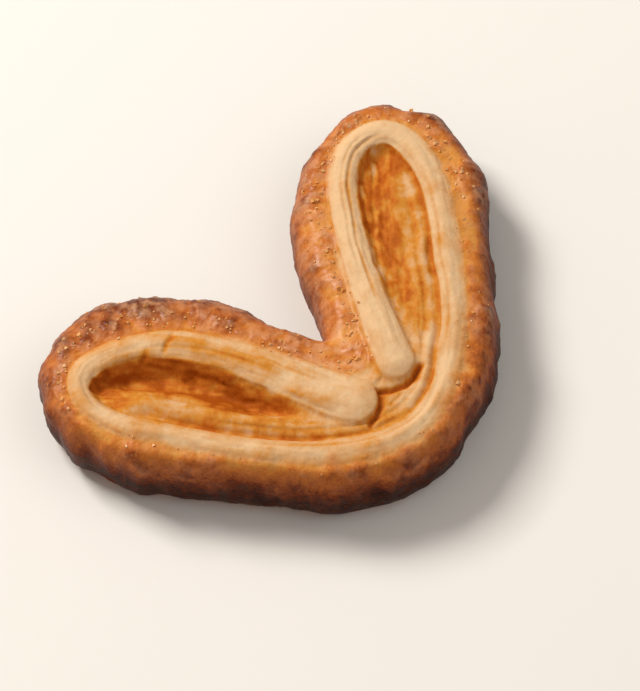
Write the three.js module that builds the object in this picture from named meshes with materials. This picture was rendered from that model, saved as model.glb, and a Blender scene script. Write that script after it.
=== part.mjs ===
// A baked palmier: one slice of a puff pastry roll whose two sides were folded in to the middle.
// The pastry strip shows on the cut face as one long pale band. It starts at a blunt end near
// the middle, runs up the left lobe beside the cleft, turns at the lobe's tip, comes back down
// the outside, crosses the heart's foot and does the same on the right. Browned crust lies
// outside the band, and a hollow with the inner layers lies inside each turn of it.
// Millimetres, +Z up, and the lobes point to +Y. The shape is worked out from a drawing whose
// origin is at the bottom of the cleft. The finished solid is then moved, so that its base is at
// height 0 and the origin lies below the middle of its outline.
import * as THREE from "three";

// Driving sizes
const THICKNESS = 15; // base to the crest of the band
const WAIST = 7; // height at which the side stands out furthest

// Places along the strip are given as a number from 0 to 6: the whole part counts the curves
// below, and the rest is how far along that curve.
const STRIP = new THREE.Path()
  .moveTo(-4.7, -15.6)
  .bezierCurveTo(-10.2, -6, -14.2, 17.5, -31, 19) // left lobe, beside the cleft
  .bezierCurveTo(-36.6, 19.9, -39, 12.4, -33.4, 4.4) // left tip
  .bezierCurveTo(-29, -1.9, -15.5, -25.3, -1, -25.8) // left lobe, outside
  .bezierCurveTo(12, -26.3, 26.3, -4.3, 31.9, 5.2) // right lobe, outside
  .bezierCurveTo(35.8, 11.8, 37, 21.6, 28, 20.6) // right tip
  .bezierCurveTo(20, 19.8, 11.2, 0, 5, -14.7).curves; // right lobe, beside the cleft
const STRIP_END = STRIP.length;
const STEPS_PER_CURVE = 60;

// Half the width of the pale band, as [place, millimetres]
const BAND_HALF = [
  [0, 4], [0.3, 3.7], [0.6, 2.9], [1, 2.3], [1.4, 1.9], [2, 2.2], [3, 2.4], [4, 2.6],
  [4.5, 2.4], [5.5, 2.5], [6, 3],
];

// How far the crust's side lies from the band's middle line, as [place, millimetres]
const SIDE_REACH = [
  [0, 9.6], [0.3, 10.4], [0.6, 11.2], [0.9, 11.2], [1.1, 9.2], [1.3, 6], [1.6, 4.9], [2, 5.4],
  [2.4, 4.5], [3, 5], [3.4, 7], [3.7, 7.4], [4, 8.9], [4.4, 9], [4.75, 7], [5.1, 7], [5.35, 8.8],
  [6, 9.2],
];
// Lumps along the side, where the crust blistered: [waves round the heart, millimetres, turns]
const SIDE_LUMPS = [[9, 0.35, 0.1], [17, 0.25, 0.62], [29, 0.16, 0.35]];

// The four ends of the face's grid: where each lobe's tip begins and ends
const LEFT_TOP = 0.98;
const LEFT_OUT = 1.57;
const RIGHT_OUT = 4.4;
const RIGHT_TOP = 5.02;

// Grid: cells along the heart from tip to tip, cells across a lobe, rows from waist to face
const CELLS_ALONG = 84;
const CELLS_ACROSS = 22;
const WALL_ROWS = 4;

// Relief. Depths are below the band's crest.
const BAND_ROUNDING = 1.1; // from the crest to the band's edge
const NUB_RISE = 0.9; // above the crest, where the strip ends
const CRUST_DEPTH = 0.7; // beside the band
const CRUST_SLOPE = 0.1; // more for each millimetre outwards
const STEEP = 1.3; // fall for each millimetre past an edge
const LAYER_SPAN = [2.05, 3.7]; // stretch of the strip with an inner layer beside it
const LAYER_OFFSET = 5.2; // from the band's middle line to the inner layer's
const LAYER_HALF = 2.1;
const LAYER_DEPTH = 1;
const HOLLOW_DEPTH = {
  left: { outside: 1.9, cleftSide: 4 },
  right: { outside: 1.5, cleftSide: 2.1 },
  middle: 1,
};
const DEEPENS = [0.42, 0.62]; // shares of the way across a hollow, from its outside
const LOBE_BEGINS = [11, 17]; // distance from the heart's axis over which a lobe's hollow sets in
const PIT = { x: 28.5, y: 15, angle: 0.7, half: [5.5, 2.4], depth: 1.3 }; // in the right lobe
const BLEND = 0.5; // millimetres over which neighbouring surfaces melt together
const BASE_HOLLOW = 1.2; // hollow under each lobe, in the base
const BASE_EDGE_INSET = 2.6; // from the waist to the base's edge

const lerp = THREE.MathUtils.lerp;
const smoothstep = THREE.MathUtils.smoothstep;
const ORIGIN = new THREE.Vector2();

// The value at a place along the strip, from a list of [place, value].
function along(list, place) {
  let i = 1;
  while (i < list.length - 1 && place > list[i][0]) i += 1;
  const [a, va] = list[i - 1];
  const [b, vb] = list[i];
  return lerp(va, vb, smoothstep(place, a, b));
}

// Points along one curve of the strip, with their outward normals and places.
function samplesOn(curve, firstPlace) {
  const samples = [];
  for (let i = 0; i < STEPS_PER_CURVE; i += 1) {
    const t = i / STEPS_PER_CURVE;
    const tangent = curve.getTangent(t);
    const normal = new THREE.Vector2(tangent.y, -tangent.x);
    samples.push({ place: firstPlace + t, point: curve.getPoint(t), normal });
  }
  return samples;
}

// A seam runs from one end of the strip to the other, so that strip and seam enclose the hollows.
const SEAM = new THREE.LineCurve(STRIP[STRIP_END - 1].getPoint(1), STRIP[0].getPoint(0));
const STRIP_SAMPLES = STRIP.flatMap(samplesOn);
const LOOP_SAMPLES = [...STRIP_SAMPLES, ...samplesOn(SEAM, STRIP_END)];
const TIP_MIDDLES = [1.5, 4.5]; // places where the strip turns from the outside to the cleft side
const isOutside = (s) => s.place > TIP_MIDDLES[0] && s.place < TIP_MIDDLES[1];
const OUTSIDE_SAMPLES = STRIP_SAMPLES.filter(isOutside);
const CLEFT_SAMPLES = STRIP_SAMPLES.filter((s) => !isOutside(s));
const LAYER_SAMPLES = STRIP_SAMPLES.filter(
  (s) => s.place >= LAYER_SPAN[0] && s.place <= LAYER_SPAN[1]);

// The waist's outline on one stretch of the strip: the middle line moved out by the side's reach.
function waistPoints(from, to) {
  const kept = STRIP_SAMPLES.filter((s) => s.place >= from && s.place <= to);
  return kept.map((s) => {
    const round = (2 * Math.PI * s.place) / STRIP_END;
    const lumps = SIDE_LUMPS.reduce(
      (sum, [waves, height, turn]) => sum + height * Math.sin(waves * round + 2 * Math.PI * turn), 0);
    return s.point.clone().addScaledVector(s.normal, along(SIDE_REACH, s.place) + lumps);
  });
}

// Cuts two open outlines off where they meet, and gives both the same last point.
function cutWhereTheyMeet(a, b) {
  let best = { distance: Infinity };
  a.forEach((p, i) => b.forEach((q, j) => {
    const distance = p.distanceTo(q);
    if (distance < best.distance) best = { distance, i, j };
  }));
  const meeting = a[best.i].clone().lerp(b[best.j], 0.5);
  return [[...a.slice(0, best.i), meeting], [...b.slice(0, best.j), meeting]];
}

// n + 1 evenly spaced points along a line of points.
function resample(points, n) {
  const length = [0];
  for (let i = 1; i < points.length; i += 1) {
    length.push(length[i - 1] + points[i].distanceTo(points[i - 1]));
  }
  const out = [];
  let i = 1;
  for (let k = 0; k <= n; k += 1) {
    const at = (length[length.length - 1] * k) / n;
    while (i < points.length - 1 && length[i] < at) i += 1;
    const share = (at - length[i - 1]) / (length[i] - length[i - 1]);
    out.push(points[i - 1].clone().lerp(points[i], share));
  }
  return out;
}

// The waist as one closed ring, anticlockwise, starting where the left tip meets the outside.
// It follows the grid's four sides: outside, right tip, cleft side and left tip.
function waistRing() {
  const leftCleft = waistPoints(0, LEFT_TOP).reverse();
  const rightCleft = waistPoints(RIGHT_TOP, STRIP_END);
  const [left, right] = cutWhereTheyMeet(leftCleft, rightCleft);
  const half = CELLS_ALONG / 2;
  const foot = STRIP_END / 2;
  const sides = [
    resample(waistPoints(LEFT_OUT, foot), half),
    resample(waistPoints(foot, RIGHT_OUT), half),
    resample(waistPoints(RIGHT_OUT, RIGHT_TOP), CELLS_ACROSS),
    resample(right, half),
    resample([...left].reverse(), half),
    resample(waistPoints(LEFT_TOP, LEFT_OUT), CELLS_ACROSS),
  ];
  return sides.flatMap((side) => side.slice(0, -1));
}

// Unit vectors that point into the heart from each ring point, evened out so that neighbours
// don't cross in the cleft.
function inwardDirections(ring) {
  const n = ring.length;
  const at = (list, i) => list[(i + n) % n];
  let directions = ring.map((_, i) => {
    const d = at(ring, i + 1).clone().sub(at(ring, i - 1)).normalize();
    return new THREE.Vector2(-d.y, d.x);
  });
  const PASSES = 6;
  for (let pass = 0; pass < PASSES; pass += 1) {
    directions = directions.map((d, i) =>
      at(directions, i - 1).clone().add(d).add(at(directions, i + 1)).normalize());
  }
  return directions;
}

// A grid of points inside a closed ring: lines run from the outside to the cleft side, and the
// bow of each tip dies away towards the heart's middle.
function gridInside(ring) {
  const a = CELLS_ALONG;
  const c = CELLS_ACROSS;
  const n = ring.length;
  const outer = (i) => ring[i];
  const cleft = (i) => ring[(a + c + (a - i)) % n];
  const leftTip = (j) => ring[(n - j) % n];
  const rightTip = (j) => ring[a + j];
  const bow = (tip, j) => {
    const chord = tip(0).clone().lerp(tip(c), j / c);
    return tip(j).clone().sub(chord);
  };
  const rows = [];
  for (let j = 0; j <= c; j += 1) {
    const row = [];
    for (let i = 0; i <= a; i += 1) {
      const p = outer(i).clone().lerp(cleft(i), j / c);
      p.addScaledVector(bow(leftTip, j), (1 - i / a) ** 3);
      p.addScaledVector(bow(rightTip, j), (i / a) ** 3);
      row.push(p);
    }
    rows.push(row);
  }
  return rows;
}

// Distance from a point to a line of samples, positive on the outside, and the place there.
function fromLine(samples, p) {
  let best = samples[0];
  let least = Infinity;
  for (const s of samples) {
    const d = s.point.distanceToSquared(p);
    if (d < least) {
      least = d;
      best = s;
    }
  }
  const side = p.clone().sub(best.point).dot(best.normal) < 0 ? -1 : 1;
  return { distance: Math.sqrt(least) * side, place: best.place };
}

// The higher of two heights, melted together where they are close.
function meltedMax(a, b) {
  const h = Math.max(BLEND - Math.abs(a - b), 0) / BLEND;
  return Math.max(a, b) + (h * h * BLEND) / 4;
}

// A long ridge: its crest, less its rounding towards the edge and a steep fall past the edge.
function ridge(crest, distance, half) {
  const q = Math.abs(distance) / half;
  const fall = Math.max(q - 1, 0) * half * STEEP;
  return crest - BAND_ROUNDING * Math.min(q, 1) ** 2 - fall;
}

// The pale band, highest at the strip's two ends.
function bandHeight(p) {
  const { distance, place } = fromLine(STRIP_SAMPLES, p);
  const nub = 1 - smoothstep(Math.min(place, STRIP_END - place), 0, 0.75);
  return ridge(THICKNESS + NUB_RISE * nub, distance, along(BAND_HALF, place));
}

// The crust slopes away outside strip and seam, and ends in a step inside them.
function crustHeight(p) {
  const { distance } = fromLine(LOOP_SAMPLES, p);
  const slope = CRUST_SLOPE * Math.max(distance, 0) + STEEP * Math.max(-distance, 0);
  return THICKNESS - CRUST_DEPTH - slope;
}

// The inner layer is a low ridge beside the band, on the hollow's outside.
function layerHeight(p) {
  const { distance } = fromLine(LAYER_SAMPLES, p);
  return ridge(THICKNESS - LAYER_DEPTH, distance + LAYER_OFFSET, LAYER_HALF);
}

// The hollow's floor is deepest beside the cleft's band, and shallow in the heart's middle.
function floorHeight(p) {
  const outside = Math.abs(fromLine(OUTSIDE_SAMPLES, p).distance);
  const cleftSide = Math.abs(fromLine(CLEFT_SAMPLES, p).distance);
  const share = outside / (outside + cleftSide);
  const lobe = p.x < 0 ? HOLLOW_DEPTH.left : HOLLOW_DEPTH.right;
  const lobeDepth = lerp(lobe.outside, lobe.cleftSide, smoothstep(share, ...DEEPENS));
  const depth = lerp(HOLLOW_DEPTH.middle, lobeDepth, smoothstep(Math.abs(p.x), ...LOBE_BEGINS));
  const fromPit = new THREE.Vector2(p.x - PIT.x, p.y - PIT.y).rotateAround(ORIGIN, -PIT.angle);
  const reach = (fromPit.x / PIT.half[0]) ** 2 + (fromPit.y / PIT.half[1]) ** 2;
  return THICKNESS - depth - PIT.depth * Math.exp(-reach * 2);
}

// Height of the cut face at a point.
function faceHeight(p) {
  const heights = [bandHeight(p), crustHeight(p), layerHeight(p), floorHeight(p)];
  return heights.reduce(meltedMax);
}

// Height of the base: flat under the crust and the band, hollow inside strip and seam.
function baseHeight(p) {
  const { distance } = fromLine(LOOP_SAMPLES, p);
  return BASE_HOLLOW * smoothstep(-distance, 3.5, 6.5);
}

// How far the face's edge lies in from the waist: more where the crust is broad.
function faceInset(ring) {
  return ring.map((p) => 0.2 + 0.42 * fromLine(STRIP_SAMPLES, p).distance);
}

function moved(ring, directions, distances) {
  return ring.map((p, i) => p.clone().addScaledVector(directions[i], distances[i]));
}

// One closed mesh: the face's grid, rows down the side over the waist, and the base's grid.
function palmierGeometry() {
  const waist = waistRing();
  const inward = inwardDirections(waist);
  const topInset = faceInset(waist);
  const baseInset = waist.map(() => BASE_EDGE_INSET);
  const faceRing = moved(waist, inward, topInset);
  const baseRing = moved(waist, inward, baseInset);
  const positions = [];
  const add = (p, z) => positions.push(p.x, p.y, z) / 3 - 1;

  // Rows of vertex numbers for a grid inside a ring, and the numbers round its border.
  const a = CELLS_ALONG;
  const c = CELLS_ACROSS;
  const addGrid = (ring, height) =>
    gridInside(ring).map((row) => row.map((p) => add(p, height(p))));
  const border = (grid) => {
    const round = [];
    for (let i = 0; i < a; i += 1) round.push(grid[0][i]);
    for (let j = 0; j < c; j += 1) round.push(grid[j][a]);
    for (let i = a; i > 0; i -= 1) round.push(grid[c][i]);
    for (let j = c; j > 0; j -= 1) round.push(grid[j][0]);
    return round;
  };
  const face = addGrid(faceRing, faceHeight);
  const base = addGrid(baseRing, baseHeight);
  const faceBorder = border(face);

  // The side is a quarter of an ellipse from the face to the waist, and another to the base.
  const rings = [faceBorder];
  for (let row = 1; row < 2 * WALL_ROWS; row += 1) {
    const turn = (Math.PI / 2) * (1 - row / WALL_ROWS);
    const inset = turn > 0 ? topInset : baseInset;
    rings.push(waist.map((p, i) => {
      const q = p.clone().addScaledVector(inward[i], inset[i] * (1 - Math.cos(turn)));
      const end = turn > 0 ? positions[3 * faceBorder[i] + 2] : 0;
      return add(q, lerp(WAIST, end, Math.abs(Math.sin(turn))));
    }));
  }
  rings.push(border(base));

  const index = [];
  const quad = (p, q, r, s) => index.push(p, q, r, p, r, s);
  for (let j = 0; j < c; j += 1) {
    for (let i = 0; i < a; i += 1) {
      quad(face[j][i], face[j][i + 1], face[j + 1][i + 1], face[j + 1][i]);
      quad(base[j][i], base[j + 1][i], base[j + 1][i + 1], base[j][i + 1]);
    }
  }
  for (let row = 1; row < rings.length; row += 1) {
    const upper = rings[row - 1];
    const lower = rings[row];
    upper.forEach((_, i) => {
      const next = (i + 1) % upper.length;
      quad(upper[i], lower[i], lower[next], upper[next]);
    });
  }
  const geometry = new THREE.BufferGeometry();
  geometry.setAttribute("position", new THREE.Float32BufferAttribute(positions, 3));
  geometry.setIndex(index);
  geometry.computeVertexNormals();
  geometry.computeBoundingBox();
  const middle = geometry.boundingBox.getCenter(new THREE.Vector3());
  return geometry.translate(-middle.x, -middle.y, 0);
}

const bakedPastry = new THREE.MeshStandardMaterial({
  color: 0xc98a48,
  roughness: 0.55,
  metalness: 0,
});
const palmier = new THREE.Mesh(palmierGeometry(), bakedPastry);
palmier.name = "palmier";

const model = new THREE.Group();
model.add(palmier);

export default model;
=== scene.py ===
"""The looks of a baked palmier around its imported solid, laid out as a Blender add-on.

The pastry is one closed surface on a grid: across each lobe and along the heart from tip to tip.
Its heights come from distances to the pale strip's middle line. Lengths in the shape functions
are millimetres on a drawing whose origin is at the bottom of the cleft. The finished piece is
moved, so that its origin is the middle of its outline.
"""

import itertools
import math

import bpy
import numpy as np
from mathutils import Matrix, Vector


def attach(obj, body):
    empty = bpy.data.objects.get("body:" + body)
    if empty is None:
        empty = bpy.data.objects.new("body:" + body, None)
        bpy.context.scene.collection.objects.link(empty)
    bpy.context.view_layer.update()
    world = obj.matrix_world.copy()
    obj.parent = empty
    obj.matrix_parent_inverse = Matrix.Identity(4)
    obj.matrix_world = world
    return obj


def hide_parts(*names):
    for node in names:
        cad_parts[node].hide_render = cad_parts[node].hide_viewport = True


bl_info = {
    "name": "Palmier Pastry",
    "version": (1, 0, 0),
    "blender": (4, 5, 0),
    "location": "View3D > Sidebar > Palmier",
    "description": "Builds a baked palmier with its sugar and a plain studio",
    "category": "Object",
}

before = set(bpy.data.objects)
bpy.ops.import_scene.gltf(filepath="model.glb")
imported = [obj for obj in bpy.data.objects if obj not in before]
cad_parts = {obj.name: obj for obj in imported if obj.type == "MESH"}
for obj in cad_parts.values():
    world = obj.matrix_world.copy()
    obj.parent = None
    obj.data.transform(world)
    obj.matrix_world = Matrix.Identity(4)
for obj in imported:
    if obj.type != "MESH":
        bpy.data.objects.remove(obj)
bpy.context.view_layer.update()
MM = 0.001

# The strip's middle line, as cubic curves from its left end near the middle to its right end.
# A place along it is a number: the whole part counts curves, the rest is how far along one.
STRIP = (
    ((-4.7, -15.6), (-10.2, -6), (-14.2, 17.5), (-31, 19)),
    ((-31, 19), (-36.6, 19.5), (-39, 12.4), (-33.4, 4.4)),
    ((-33.4, 4.4), (-29, -1.9), (-15.5, -25.3), (-1, -25.8)),
    ((-1, -25.8), (12, -26.3), (26.3, -4.3), (31.9, 5.2)),
    ((31.9, 5.2), (35.8, 11.8), (37, 21.6), (28, 20.6)),
    ((28, 20.6), (20, 19.8), (11.2, 0), (5, -14.7)),
)
STRIP_END = len(STRIP)
STEPS_PER_CURVE = 150
SEAM_STEPS = 24
OUTSIDE_SPAN = (1.5, 4.5)  # the stretch away from the cleft

# Values along the strip, as (place, value)
BAND_HALF = (
    (0, 4), (0.3, 3.7), (0.6, 2.9), (1, 2.3), (1.4, 1.9), (2, 2.2), (3, 2.4), (4, 2.6),
    (4.5, 2.4), (5.5, 2.5), (6, 3),
)
SIDE_REACH = (
    (0, 9.6), (0.3, 10.4), (0.6, 11.2), (0.9, 11.2), (1.1, 9.2), (1.3, 6), (1.6, 4.9), (2, 5.4),
    (2.4, 4.5), (3, 5), (3.4, 7), (3.7, 7.4), (4, 8.9), (4.4, 9), (4.75, 7), (5.1, 7), (5.35, 8.8),
    (6, 9.2),
)
SIDE_LUMPS = ((9, 0.35, 0.1), (17, 0.25, 0.62), (29, 0.16, 0.35))  # waves, height, turns
# How brown the crust is halfway out and at its rim, from 0 to 1
CRUST_TOAST = (
    (0, 0.12), (0.35, 0.34), (0.7, 0.52), (1, 0.58), (1.3, 0.42), (1.7, 0.18), (2.2, 0.14), (2.8, 0.2),
    (3.1, 0.34), (3.4, 0.46), (3.8, 0.12), (4.2, 0.12), (4.6, 0.36), (5, 0.34), (5.4, 0.22), (6, 0.1),
)
RIM_TOAST = (
    (0, 0.26), (0.35, 0.54), (0.7, 0.66), (1.3, 0.6), (1.7, 0.44), (2.4, 0.4), (3, 0.5),
    (3.6, 0.64), (4.2, 0.66), (4.6, 0.76), (5, 0.62), (5.5, 0.42), (6, 0.26),
)

# Where each lobe's tip begins and ends, as places
LEFT_TOP = 0.98
LEFT_OUT = 1.57
RIGHT_OUT = 4.4
RIGHT_TOP = 5.02

# Grid: cells from tip to tip, cells across a lobe, and rows of the side above and below the waist
CELLS_ALONG = 480
CELLS_ACROSS = 112
UPPER_ROWS = 9
LOWER_ROWS = 7
BASE_STEP = 2  # cells of the side for one cell of the base
BASE_SEAM = 0.5  # width of the row of triangles that joins the two
EVENING_PASSES = 120
BOW_POWER = 3  # how quickly a tip's bow dies out towards the other tip
CHUNK = 4000  # points measured at a time
GRID_SPANS = (150, 28)  # about how long the grid's two sides are

# The smooth form. Depths are below the band's crest.
BAND_ROUNDING = 1.1
CRUST_DEPTH = 0.7
CRUST_SLOPE = 0.1
STEEP = 1.3  # fall for each millimetre past a ridge's edge
NUB_REACH = 0.75  # how far along the strip its raised ends reach, in places
LAYER_SPAN = (2.05, 3.7)
LAYER_OFFSET = 5.2
LAYER_HALF = 2.1
LAYER_DEPTH = 1.0
LAYER_EDGE = (0.6, 1.3)  # shares of its half width between which the layer's colour fades
FLOOR_OUTSIDE = {"left": 1.9, "right": 1.5}
FLOOR_MIDDLE = 1.0
DEEPENS = (0.42, 0.62)  # shares of the way across a hollow, from its outside
LOBE_BEGINS = (11, 17)
PIT = {"at": (28.5, 15), "angle": 0.7, "half": (5.5, 2.4), "depth": 1.3}
BLEND = 0.5
FACE_INSET = (0.2, 0.42)  # of the face's rim from the widest outline: least, and share of reach
BASE_HOLLOW = 1.2
BASE_HOLLOW_EDGE = (3.5, 6.5)
BASE_EDGE_INSET = 2.6

# The groove between band and crust beside the cleft, as (place, depth)
VALLEY_DEPTH = (
    (0, 0), (0.4, 0.25), (0.9, 0.25), (1.3, 0), (4.6, 0), (4.9, 0.25), (5.4, 0.25), (5.8, 0.1), (6, 0),
)
VALLEY_OFFSET = 0.4
VALLEY_HALF = 1.2

# Thin lines between the strip's baked layers, as (from place, to place, offset outwards from the
# middle line, depth, half width). A line with a negative depth is a pale raised edge.
LAYER_LINES = (
    (4.7, 5.85, -0.95, 0.3, 0.3),
    (4.8, 5.7, 0.15, 0.16, 0.28),
    (3.3, 4.25, -0.9, 0.14, 0.28),
    (2.95, 4.4, -2.55, 0.42, 0.34),
    (3.0, 4.35, -3.7, -0.3, 0.65),
    (3.2, 4.1, -4.8, 0.2, 0.4),
    (2.3, 3.2, -1.0, 0.12, 0.3),
    (0.1, 0.6, 0.6, 0.16, 0.35),
    (0.25, 0.9, -0.9, 0.14, 0.3),
    (2.05, 3.05, -2.9, 0.4, 0.42),
    (1.9, 2.8, -7.2, 0.25, 0.3),
    (2.2, 3.3, -4.4, 0.16, 0.3),
    (2.4, 3.6, -5.7, 0.2, 0.3),
)
LINE_FADE = 0.2
LINE_WANDER = {"height": 0.3, "cell": 6, "seed": 31}
# Short cracks and tears, as (points, depth, half width)
CRACKS = (
    (((7.6, -18), (5.2, -19), (3.4, -19), (1, -18.1), (-0.4, -17.1)), 0.9, 0.5),
    (((-0.6, -17.2), (-1.3, -18.3), (-2.4, -19.4), (-3.9, -20.2), (-5.8, -20.6)), 0.5, 0.45),
    (((-17.9, 14), (-18.4, 13.2), (-19.8, 13.1), (-20.9, 12.4)), 0.32, 0.42),
    (((-23, 14.4), (-23.8, 13.8), (-24.6, 13.9)), 0.2, 0.4),
)
CRACK_STEPS = 60

# Noises by name, as (places they are taken at, stretch of each axis, cell, seed, octaves)
NOISES = {
    "lumps": ("body", (1, 1, 1), 5.5, 3, 2),
    "mottle": ("body", (1, 1, 1), 2.6, 5, 3),
    "grit": ("body", (1, 1, 1), 0.8, 17, 2),
    "streaks": ("strip", (0.13, 1.1, 0.45), 1, 23, 3),
    "drips": ("strip", (0.5, 0.09, 0.12), 1, 29, 3),
    "fibres": ("grid", (0.14, 1.0, 0.2), 1, 37, 3),
    "veins": ("grid", (0.13, 0.42, 0.2), 1, 43, 3),
}
VEIN_SHARPNESS = 2.4
NOISE_SIDE = 32  # corners along each side of the table of random numbers

# Where the crust's colour sets in, as (place, share of the band's half width)
CRUST_BEGINS = (
    (0, 0.7), (1, 0.6), (1.8, 0.2), (2.6, 0), (3.3, 0), (3.8, 0.2), (4.7, 0.6), (6, 0.75),
)
# Where the surface's parts begin and end
BAND_EDGE = (0.86, 1.08)  # shares of its half width
BAND_WANDER = 0.25
CRUST_REACH = 1.2  # how far past the band the crust's colour is full
CRUST_WANDER = {"drips": 0.8, "mottle": 0.4}
CRUST_INNER_EDGE = 0.6  # share of the band's half width from which the way out is measured
DEEP_EDGE = (0.36, 0.58)  # shares of the way across a hollow
LEVEL_TILT = (0.25, 0.85)  # upright part of the normal on sloping and on level ground
TOP_TILT = (0.1, 0.6)
WALL_HEIGHT = (3.5, 13)
WALL_WANDER = {"drips": 1.5, "lumps": 1.5}
UNDERSIDE_LEVEL = 0.5  # how level the underside counts for the dark side
STREAKS_SET_IN = 0.14  # places from the strip's two ends

# Fine relief: how far each noise lifts the surface
CRUST_RELIEF = {"lumps": 0.3, "mottle": 0.26, "grit": 0.1, "drips": 0.08}
BAND_RELIEF = {"lumps": 0.12, "grit": 0.05, "mottle": 0.08}
BAND_STREAKS = 0.2
FLOOR_RELIEF = {"mottle": 0.16}
FLOOR_FIBRES = (0.1, 0.22)  # in the shallow and in the deep part
FLOOR_VEINS = 0.25
BASE_SMOOTH = (0.3, 2.5)  # heights between which the relief sets in below the waist

# How brown the crust is, from 0 to 1
WAY_TO_MIDDLE = (0, 0.42)  # shares of the way out between which CRUST_TOAST sets in
WAY_TO_RIM = (0.4, 0.85)
CRUST_SPOTS = {"lumps": 0.15, "mottle": 0.25, "drips": 0.15, "grit": 0.1}
SPOTS_ON_SLOPE = 0.45
SPOTS_ON_WALL = 0.5
RIM_SPOTS = {"lumps": 1, "mottle": 1}
RIM_SPOT_EDGE = (0.3, 1)
RIM_SPOT_WAY = (0.55, 0.95)
RIM_SPOT_TOAST = 0.2
CRACK_TOAST = 0.3
# Painted shade: how much the groove beside the band darkens the crust
VALLEY_SHADE = 0.35
MOST_TOAST = 0.8  # above the dark side, which reaches 1
# How much darker the lower side is: browning with painted shade, most from the foot of the heart round
# to its right tip, the sides away from the light
WALL_TOAST_AND_SHADE = (
    (0, 0.3), (1.2, 0.42), (1.8, 0.55), (2.4, 0.72), (3.6, 0.76), (4.4, 0.62), (5, 0.42), (6, 0.3),
)

# How golden the pale band is, from 0 to 1
BAND_CRUMB = (
    (0, 0.1), (0.25, 0.16), (0.55, 0.26), (0.9, 0.24), (1.3, 0.16), (2, 0.18), (3, 0.18), (4, 0.06),
    (4.6, 0), (5, -0.04), (6, 0),
)
BAND_EDGE_CRUMB = 0.12
BAND_SPOTS = {"mottle": 0.2, "lumps": 0.1}
LINE_CRUMB = {"band": 1.2, "floor": 0.6}
LINE_CRUMB_LIMITS = (-0.3, 0.4)
# How golden the floor is: in the middle, in the lobes, on the layer and in the deep hollows
FLOOR_CRUMB = {"middle": 0.34, "lobe": 0.52, "left_deep": 0.74, "right_deep": 0.54}
LAYER_CRUMB = {"middle": 0.3, "lobe": 0.54}
FIBRE_CRUMB = (0.1, 0.26)
VEIN_CRUMB = 0.36
FLOOR_SPOTS = {"lumps": 0.1, "grit": 0.1}
FLOOR_MOTTLE = {"usual": 0.3, "left_deep": 0.16}

# How much melted sugar pales the crust
SUGARED = (
    (0, 0.7), (0.7, 0.45), (1.2, 0.4), (1.8, 0.3), (2.6, 0.25), (3.4, 0.25), (4, 0.45), (4.4, 0.5),
    (5.4, 0.6), (6, 0.7),
)
SUGAR_SPOTS = {"lumps": 0.35, "mottle": 0.2}
SUGAR_ON_SLOPE = 0.4
SUGAR_OFF_WALL = 0.9
CLEFT_GLAZE = {"at": (0.5, -8), "reach": 5, "sugar": 0.3}  # the patch where the lobes join

# Grains of sugar
GRAIN_TILT = (0.3, 0.8)  # upright part of the normal where grains begin to lie, and where most do
GRAIN_SPREAD = 0.35
GRAIN_LIMITS = (0.5, 2)  # smallest and largest, as shares of the usual size
GRAIN_BROWNED = (0.4, 1)
GRAIN_CORNER_SHIFT = 0.22
GRAIN_LIFT = 0.05
CUBE_SIDES = (
    (0, 1, 3, 2), (4, 6, 7, 5), (0, 4, 5, 1), (2, 3, 7, 6), (0, 2, 6, 4), (1, 5, 7, 3),
)

# Colours along each ramp, by name, and how far fine noise shifts a spot along it
CRUMB_RAMP = ((0, "cream"), (0.25, "straw"), (0.5, "gold"), (0.75, "amber"), (1, "deep_amber"))
CRUMB_SHIFT = 0.24
CRUST_RAMP = ((0, "tan"), (0.25, "copper"), (0.48, "chestnut"), (0.74, "brown"), (1, "burnt_and_shade"))
CRUST_SHIFT = 0.36

# Area lights, as (name, metres away, to the right and up, watts, side, colour)
LAMPS = (
    ("key", (0.45, -0.5, 0.75), 9, 0.36, "#FFF8F0"),
    ("fill", (-0.2, 0.6, 0.8), 1.6, 0.8, "#FFFFFF"),
)
SKY_COLOUR = "#FFF5EA"
SKY_STRENGTH = 0.33
FLOOR_REACH = 3.0
AIM = (0.0, 0.0, 0.007)
CAMERA_SEES = 20


def smoothstep(x, low, high):
    """A smooth rise from 0 at low to 1 at high: three squares less two cubes."""
    t = np.clip((x - low) / (high - low), 0, 1)
    return t * t * (3 - 2 * t)


def lerp(a, b, t):
    """The value a share t of the way from a to b."""
    return a + (b - a) * t


def along(knots, place):
    """The value at each place, rising or falling smoothly between (place, value) knots."""
    places, values = np.array(knots, float).T
    i = np.clip(np.searchsorted(places, place) - 1, 0, len(places) - 2)
    return lerp(values[i], values[i + 1], smoothstep(place, places[i], places[i + 1]))


def lattice_noise(points, cell, seed):
    """Noise from -1 to 1: random numbers at the corners of cubes, blended smoothly inside them."""
    table = np.random.default_rng(seed).uniform(-1, 1, (NOISE_SIDE, NOISE_SIDE, NOISE_SIDE))
    scaled = points / cell
    corner = np.floor(scaled).astype(int)
    t = scaled - corner
    t = t * t * (3 - 2 * t)
    total = np.zeros(len(points))
    for step in itertools.product((0, 1), repeat=3):
        weight = np.prod(np.where(step, t, 1 - t), axis=1)
        total += weight * table[tuple(((corner + step) % NOISE_SIDE).T)]
    return total


def layered_noise(points, cell, seed, octaves):
    """Lattice noise at halving cells and weights, scaled back to about -1 to 1."""
    weights = 0.5 ** np.arange(octaves)
    layers = [w * lattice_noise(points, cell * w, seed + k) for k, w in enumerate(weights)]
    return sum(layers) / weights.sum() * 1.5


def curve_points(curve, t):
    """Points of a cubic curve: its four control points weighted by Bernstein's polynomials."""
    a, b, c, d = (np.array(point, float) for point in curve)
    t = np.asarray(t)[:, None]
    s = 1 - t
    return s**3 * a + 3 * s * s * t * b + 3 * s * t * t * c + t**3 * d


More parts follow.
